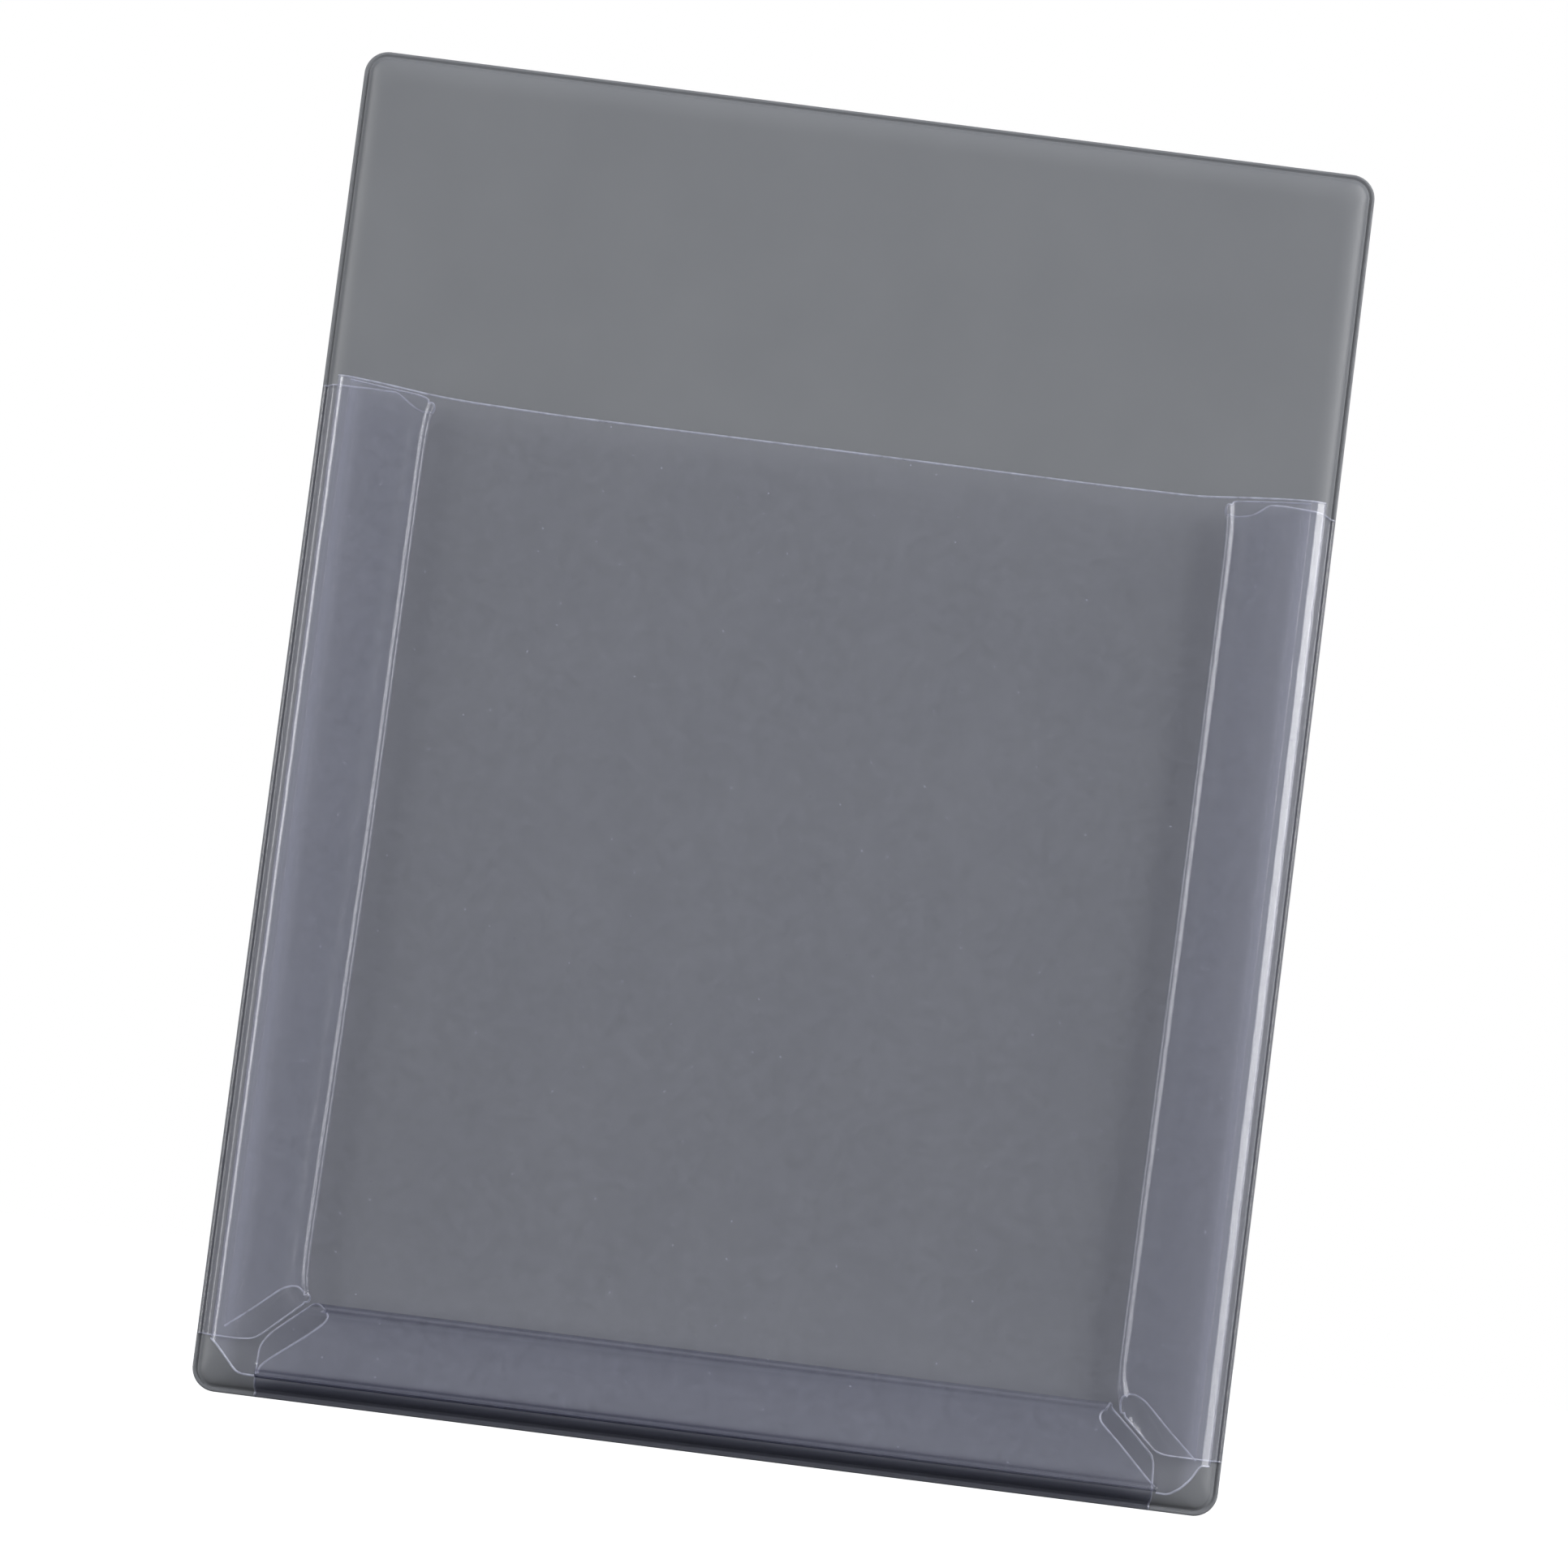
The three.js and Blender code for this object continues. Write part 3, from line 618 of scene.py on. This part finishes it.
def gussetPath(side, look):
    crease, inner = foldPlace(side, "_weld_crease"), foldPlace(side, "_inner_fold")
    outer = outerInset + crease[0] - foldPlace("bottom", "_weld_crease")[0] + outerShift[side]
    lean = math.radians(look["lean"])
    slope, leafFrom = math.tan(lean), look["bulbFrom"]
    shape = list(weldShape[side][-2:])
    shape += [(inner[0] + away, inner[1] + height) for away, height in foldShape[side]]
    shape.append((inner[0] + leafFrom, inner[1] + look["foldOffset"] / math.cos(lean) - leafFrom * slope))
    skipped = round((shape[1][0] - shape[0][0]) / look["step"])
    path, past = [], False
    for inset, level in smoothPath(shape, look["step"])[skipped:]:
        inFold = inset > inner[0] - look["foldReach"]
        past = past or level > inner[1] and inFold
        upper = float(past)
        if inFold:
            upper = np.clip((level - inner[1]) / look["bulbReach"] / 2 + 0.5, 0, 1)
        path.append((inset, level, upper))
    start = path[-1]
    for inset in np.linspace(start[0], outer + leafStop[side], look["leafSteps"])[1:]:
        path.append((inset, start[1] + (start[0] - inset) * slope, 1.0))
    return path, inner[0]


# The two ends of a line along the film, upper being 0 on the lower leaf and 1 on the upper one
def lineEnds(side, inset, upper, look, footDrift=0, topDrift=0):
    found = []
    for end, rounding, shift in (("Foot", look["footRound"], footDrift), ("Top", look["topRound"], topDrift)):
        low, high = (endLine(leafEnds[side][leaf + end], inset + shift, rounding) for leaf in ("low", "high"))
        found.append(low + (high - low) * upper)
    if side == "bottom":
        return found[0] - halfWidth, halfWidth - found[1]
    return found[0] - halfHeight, look["mouth"] + found[1]


def gussetPiece(side, look):
    path, innerInset = gussetPath(side, look)
    drift, ends = np.array(foldDrift[side]), np.array(endDrift[side])
    columns, marks, deep = [], [], []
    for inset, level, upper in path:
        weight = float(np.clip((inset - look["seam"]) / (innerInset - look["seam"]), 0, 1))
        low, high = lineEnds(side, inset, upper, look, weight * (drift[0] + ends[0]),
                             weight * (drift[2] + ends[1]))
        along = rowsBetween(low, high, look)
        knots = (low, (low + high) / 2, high)
        nearFoot, nearTop = np.exp((low - along) / look["endRun"]), np.exp((along - high) / look["endRun"])
        strayed = np.interp(along, knots, drift) + ends[0] * nearFoot + ends[1] * nearTop
        size = weight ** look["wobblePower"] * look["bulbWobble"]
        size *= 1 + look["endWobble"] * (nearFoot + nearTop)
        shiver = size * [wobble(s * look["wobbleAlong"], inset * look["wobbleAcross"], look["wobbleSeed"])
                         for s in along]
        columns.append([sidePlace(side, inset + weight * i, level + w, s)
                        for i, w, s in zip(strayed, shiver, along)])
        marks.append(endMarks(len(along)))
        # painted shade near the bottom inner fold
        deep.append(np.interp(along, knots, foldPaintedShade[side])
                    * np.interp(innerInset - inset, foldPaintedShadeRun, (1, 0)))
    piece = filmPiece(side + "Gusset", np.array(columns), np.array(marks), look["edgeRadius"], clearFilm,
                      deep=np.array(deep))
    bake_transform(piece)
    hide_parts(side + "_lower_leaf", side + "_upper_leaf")
    return piece


def weldPiece(side, look):
    columns, marks, deep = [], [], []
    for inset, level in smoothPath(weldShape[side], look["step"]):
        along = rowsBetween(*lineEnds(side, inset, 0.0, look), look)
        columns.append([sidePlace(side, inset, level, s) for s in along])
        marks.append(endMarks(len(along)))
        # painted shade across the bottom welded strip
        deep.append(np.full(len(along), np.interp(inset, weldPaintedShadeInset, weldPaintedShade[side])))
    piece = filmPiece(side + "Weld", np.array(columns), np.array(marks), look["edgeRadius"], clearFilm,
                      deep=np.array(deep))
    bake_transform(piece)
    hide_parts(side + "_weld_strip")
    return piece


for side in ("left", "right", "bottom"):
    weldPiece(side, pocketLook)
    gussetPiece(side, pocketLook)

frontLook = {
    "top": 14.78, "droop": 4.2, "droopRun": 50, "rows": 90, "columns": 80, "crowding": 0.75,
    "fineRows": (0, 0.3, 0.7, 1.3, 2.2, 3.4), "endColumns": (-0.05, 0.05, 0.7, 1.5, 2.4, 3.3, 4.2, 5.1, 6.0),
    "footFrom": 15.4, "footRows": (0, 0.5, 1.2), "footRun": 4, "footCrowding": 1.5,
    # painted shade on the rolled foot edge, left to middle to right, less towards the right
    "footPaintedShade": (1.4, 1.4, 0.3), "whiteFrom": 8.2, "whiteRun": 4.0, "lipStep": 0.22, "leastFall": 0.001,
    "edgeFall": 1.2, "edgeRadius": 0.27, "cutRound": 0.5, "mouthRound": 3,
    "lipShiver": 0.12, "shiverAlong": 0.16, "shiverAcross": 0.3, "shiverSeed": 8.1,
    # sections of the rolled edges from their underside to the flat front, as inset and fall
    "leftLip": ((5.0, 3.0), (4.6, 2.7), (4.48, 2.2), (4.5, 1.6), (4.66, 1.0), (4.88, 0.68), (5.12, 0.48),
                (5.5, 0.3), (6.2, 0.14), (7.2, 0.04), (8.2, 0.0)),
    "rightLip": ((4.2, 3.05), (3.8, 2.7), (3.72, 2.2), (3.8, 1.7), (4.02, 1.3), (4.35, 1.02),
                 (5.65, 0.46), (6.1, 0.32), (7.1, 0.18), (7.35, 0.09), (7.65, 0.02), (8.4, 0.0)),
    "footLip": ((6.0, 2.4), (5.6, 2.0), (5.5, 1.5), (5.52, 1.0), (5.65, 0.5), (5.9, 0.22), (6.2, 0.3),
                (6.5, 0.52), (6.85, 0.46), (7.3, 0.14), (7.9, 0.0)),
    "leftCut": ((0, 12.9), (4.5, 12.9), (5.8, 12.0), (8.9, 8.7), (10.7, 6.7), (11.8, 6.0), (13.2, 5.85),
                (60, 5.85)),
    "rightCut": ((0, 12.5), (6.2, 12.4), (7.8, 9.3), (10.1, 6.8), (12.2, 5.4), (13.1, 5.1), (14.9, 5.2),
                 (60, 5.2)),
    # the mouth's edge across the front, against the height of its corner
    "mouth": ((-117, 0), (-112, -0.1), (-102, -0.75), (-91, -1.8), (-83, -2.15), (-60, -2.5), (0, -2.4),
              (60, -2.6), (85, -2.5), (96, -1.5), (105, -0.9), (112, -0.66), (117, -0.66)),
}


# The front hangs in a shallow hollow between its rolled edges
def frontPiece(look, pocket):
    lips = [smoothPath(look[edge], look["lipStep"])[:-1] for edge in ("leftLip", "rightLip", "footLip")]
    leftLip, rightLip, footLip = ([(inset, -max(fall, look["leastFall"])) for inset, fall in lip]
                                  for lip in lips)
    leftEdge, rightEdge, footEdge = (look[edge][-1][0] for edge in ("leftLip", "rightLip", "footLip"))
    flatLeft, flatRight = leftEdge - halfWidth, halfWidth - rightEdge
    even = np.linspace(-1, 1, look["columns"])
    even = look["crowding"] * np.sin(even * math.pi / 2) + (1 - look["crowding"]) * even
    middle = list(flatLeft + (flatRight - flatLeft) * (even + 1) / 2)
    ends = halfWidth - look["footFrom"]
    middle += [side * (ends + more) for side in (-1, 1) for more in look["endColumns"]]
    across = [(inset - halfWidth, fall) for inset, fall in leftLip] + [(x, 0.0) for x in sorted(middle)]
    across += [(halfWidth - inset, fall) for inset, fall in reversed(rightLip)]
    columns, marks, rolled, deep = [], [], [], []
    for x, drop in across:
        inset = halfWidth - abs(x)
        edge = leftEdge if x < 0 else rightEdge
        top = pocket["mouth"] + endLine(look["mouth"], x, look["mouthRound"])
        hollow = ease(inset - edge, look["droopRun"])
        footed = drop == 0 and inset >= look["footFrom"]
        if footed:
            foot = [(height - halfHeight, fall) for height, fall in footLip]
            foot += [(footEdge - halfHeight + more, 0) for more in look["footRows"]]
        else:
            low = endLine(look["leftCut" if x < 0 else "rightCut"], inset, look["cutRound"]) - halfHeight
            steps = np.linspace(0, 1, len(footLip) + len(look["footRows"])) ** look["footCrowding"]
            foot = [(low + more, drop) for more in steps * look["footRun"]]
        rest = np.linspace(foot[-1][0], top - look["fineRows"][-1], look["rows"])[1:]
        rest = np.concatenate([rest, top - np.array(look["fineRows"][:-1])[::-1]])
        column = []
        for z, fall in foot + [(z, drop) for z in rest]:
            sag = look["droop"] * hollow * ease(z + halfHeight - footEdge, look["droopRun"])
            shiver = wobble(z * look["shiverAlong"], x * look["shiverAcross"], look["shiverSeed"])
            column.append((x + look["lipShiver"] * shiver * (drop != 0), sag - look["top"] - fall, z))
        mark = np.zeros(len(column))
        mark[0] = drop > -look["edgeFall"] and inset < look["footFrom"]
        mark[-1] = drop > -look["edgeFall"]
        columns.append(column)
        marks.append(mark)
        rolled.append(np.full(len(column), 1 - ease(inset - look["whiteFrom"], look["whiteRun"])))
        # painted shade on the rolled foot edge
        dark = np.interp(x, (-halfWidth, 0, halfWidth), look["footPaintedShade"])
        deep.append(np.where(np.arange(len(column)) < len(footLip) * footed, dark, 0))
    piece = filmPiece("pocketFront", np.array(columns), np.array(marks), look["edgeRadius"], frontFilm,
                      rolled=np.array(rolled), deep=np.array(deep))
    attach(piece, "pocket_front_film")
    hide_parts("pocket_front")
    return piece


frontPiece(frontLook, pocketLook)
print("pocket made")


# Adhesive strips: foam tape and its release liner, three times

stripLook = {
    "corner": 1.5, "cornerSteps": 6, "sideSteps": 60, "bulge": 0.12, "bulgeShare": 0.3, "flatInset": 12,
    "flatCorner": 0.5, "linerColumns": 104, "linerRows": 9, "endColumns": (0, 0.05, 0.2, 0.45, 0.8, 1.15),
    "peelRun": 40, "sharp": 35,
}


def tapePiece(name, look):
    low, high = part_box(name + "_tape")
    back, front = -high.y / mm, -low.y / mm
    size = dict(look, halfWidth=(high.x - low.x) / 2 / mm, halfHeight=(high.z - low.z) / 2 / mm,
                centreX=(high.x + low.x) / 2 / mm, centreZ=(high.z + low.z) / 2 / mm)
    corner, bulge = look["corner"], look["bulge"]
    middle, part = (back + front) / 2, bulge * look["bulgeShare"]
    flat = look["flatInset"], look["flatCorner"]
    profile = [(*flat, front), (bulge, corner, front), (part, corner, (front + middle) / 2),
               (0, corner, middle), (part, corner, (back + middle) / 2), (bulge, corner, back), (*flat, back)]
    piece = newPiece(name + "Tape", ringMesh(name + "Tape", profile, size, True, True), whiteFoam)
    piece.data.flip_normals()
    piece.data.set_sharp_from_angle(angle=math.radians(look["sharp"]))
    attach(piece, "panel")
    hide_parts(name + "_tape")
    return piece


def linerPiece(name, look):
    low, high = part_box(name + "_liner")
    corner = look["corner"]
    points, faces = [], []
    ends, left, right = np.array(look["endColumns"]), low.x / mm, high.x / mm
    even = np.linspace(left + corner, right - corner, look["linerColumns"])
    lengths = np.concatenate([left + ends, even, right - ends[::-1]])
    heights = np.linspace(low.z / mm, high.z / mm, look["linerRows"])
    middle = (low.z + high.z) / 2 / mm
    for x in lengths:
        end = min(x - left, right - x)
        trim = corner - math.sqrt(max(0, corner ** 2 - (corner - min(end, corner)) ** 2))
        squeeze = 1 - trim / ((high.z - low.z) / 2 / mm)
        points += [(x, (low.y + high.y) / 2 / mm, middle + (z - middle) * squeeze) for z in heights]
    rows = len(heights)
    for column in range(len(lengths) - 1):
        for row in range(rows - 1):
            spot = column * rows + row
            faces.append((spot, spot + 1, spot + rows + 1, spot + rows))
    piece = newPiece(name + "Liner", newMesh(name + "Liner", points, faces), linerPaper)
    paper = piece.modifiers.new("paper", "SOLIDIFY")
    paper.thickness, paper.offset = (high.y - low.y), 0
    graph = bpy.context.evaluated_depsgraph_get()
    piece.data = bpy.data.meshes.new_from_object(piece.evaluated_get(graph))
    piece.modifiers.clear()
    piece.data.set_sharp_from_angle(angle=math.radians(look["sharp"]))
    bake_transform(piece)
    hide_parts(name + "_liner")
    return piece


for name in ("upper", "middle", "lower"):
    tapePiece(name, stripLook)
    linerPiece(name, stripLook)
print("adhesive strips made")


# Floor, light and camera

floorLook = {
    "level": -1.2, "size": 40.0, "colour": (0.8, 0.8, 0.8), "fadeRun": (1.0, 6.0), "glow": (0.62, 1.0),
}
half, level = floorLook["size"] / 2, floorLook["level"]
floorMesh = bpy.data.meshes.new("floor")
corners = [(x * half, y * half, level) for x, y in ((-1, -1), (1, -1), (1, 1), (-1, 1))]
floorMesh.from_pydata(corners, [], [(0, 1, 2, 3)])
floorMaterial, tree = newMaterial("paleFloor")
shade = addNode(tree, "ShaderNodeBsdfDiffuse", Color=(*floorLook["colour"], 1))
place = addNode(tree, "ShaderNodeTexCoord").outputs["Object"]
away = addNode(tree, "ShaderNodeVectorMath", {"operation": "LENGTH"}, i0=place).outputs["Value"]
fade = mapRange(tree, away, floorLook["fadeRun"], floorLook["glow"])
path = addNode(tree, "ShaderNodeLightPath").outputs
seen = maths(tree, "MAXIMUM", path["Is Camera Ray"], maths(tree, "MAXIMUM", path["Is Glossy Ray"],
                                                           path["Is Transmission Ray"]))
glow = addNode(tree, "ShaderNodeEmission", Strength=maths(tree, "MULTIPLY", fade, seen))
both = addNode(tree, "ShaderNodeAddShader", i0=shade.outputs[0], i1=glow.outputs[0])
addNode(tree, "ShaderNodeOutputMaterial", Surface=both.outputs[0])
floor = newPiece("floor", floorMesh, floorMaterial)
floor.visible_diffuse = floor.visible_glossy = False

lampLook = {
    "left": {"at": (-1.7, -1.15, 0.35), "size": (1.2, 2.6), "power": 10.6, "spread": 80},
    "rear": {"at": (0.5, 2.0, 1.1), "size": (1.6, 1.6), "power": 14.0, "spread": 80},
    "right": {"at": (1.7, -1.15, 0.85), "size": (1.2, 2.9), "power": 19.2, "spread": 80},
}
for name, look in lampLook.items():
    lamp = bpy.data.lights.new(name + "Lamp", "AREA")
    lamp.shape, lamp.size, lamp.size_y = "RECTANGLE", look["size"][0], look["size"][1]
    lamp.energy, lamp.spread = look["power"], math.radians(look["spread"])
    holder = bpy.data.objects.new(name + "Lamp", lamp)
    holder.location = look["at"]
    holder.rotation_euler = (-Vector(look["at"])).to_track_quat("-Z", "Y").to_euler()
    holder.visible_camera = False
    scene.collection.objects.link(holder)

# The room gives a little light from the front and above, and white to what looks past the object
worldLook = {
    "ambient": (0.9, 0.95, 1.0), "wallsAside": (0.1, 0.6), "walls": (0.155, 0.28),
    "below": (-0.15, 0.6), "behind": (-0.2, 0.3), "rear": 0.5,
}
world = bpy.data.worlds.new("studio")
scene.world = world
world.use_nodes = True
tree = world.node_tree
tree.nodes.clear()
path = addNode(tree, "ShaderNodeLightPath").outputs
place = addNode(tree, "ShaderNodeTexCoord").outputs["Generated"]
parts = addNode(tree, "ShaderNodeSeparateXYZ", Vector=place).outputs
upward = mapRange(tree, parts["Z"], worldLook["below"], interpolation="SMOOTHSTEP")
behind = mapRange(tree, parts["Y"], worldLook["behind"], interpolation="SMOOTHSTEP")
rear = maths(tree, "MULTIPLY", maths(tree, "MULTIPLY", upward, behind), worldLook["rear"])
faint = maths(tree, "MULTIPLY", path["Is Glossy Ray"], rear)
seen = maths(tree, "MAXIMUM", path["Is Camera Ray"], path["Is Transmission Ray"])
white = maths(tree, "MAXIMUM", seen, faint)
aside = maths(tree, "ABSOLUTE", parts["X"])
walls = mapRange(tree, aside, worldLook["wallsAside"], worldLook["walls"], "SMOOTHSTEP")
dim = addNode(tree, "ShaderNodeBackground", Color=(*worldLook["ambient"], 1),
              Strength=maths(tree, "MULTIPLY", upward, walls))
bright = addNode(tree, "ShaderNodeBackground", Color=(1, 1, 1, 1), Strength=1.0)
mixed = addNode(tree, "ShaderNodeMixShader", i0=white, i1=dim.outputs[0], i2=bright.outputs[0])
addNode(tree, "ShaderNodeOutputWorld", Surface=mixed.outputs[0])

cameraLook = {"distance": 1.1, "azimuth": -0.112, "elevation": -3.156, "roll": 7.241,
              "aim": (-0.00077, 0, -0.00129), "lens": 110.08, "sensor": 36, "clip": (0.01, 50)}
turn, rise, roll = (math.radians(cameraLook[key]) for key in ("azimuth", "elevation", "roll"))
back = Vector((math.sin(turn) * math.cos(rise), -math.cos(turn) * math.cos(rise), math.sin(rise)))
right = Vector((0, 0, 1)).cross(back).normalized()
up = back.cross(right)
rolledRight = right * math.cos(roll) + up * math.sin(roll)
rolledUp = up * math.cos(roll) - right * math.sin(roll)
lens = bpy.data.cameras.new("camera")
lens.lens, lens.sensor_width, lens.sensor_fit = cameraLook["lens"], cameraLook["sensor"], "HORIZONTAL"
lens.clip_start, lens.clip_end = cameraLook["clip"]
camera = bpy.data.objects.new("camera", lens)
scene.collection.objects.link(camera)
spot = Matrix((rolledRight, rolledUp, back)).transposed().to_4x4()
spot.translation = Vector(cameraLook["aim"]) + back * cameraLook["distance"]
camera.matrix_world = spot
scene.camera = camera
print("light and camera set")
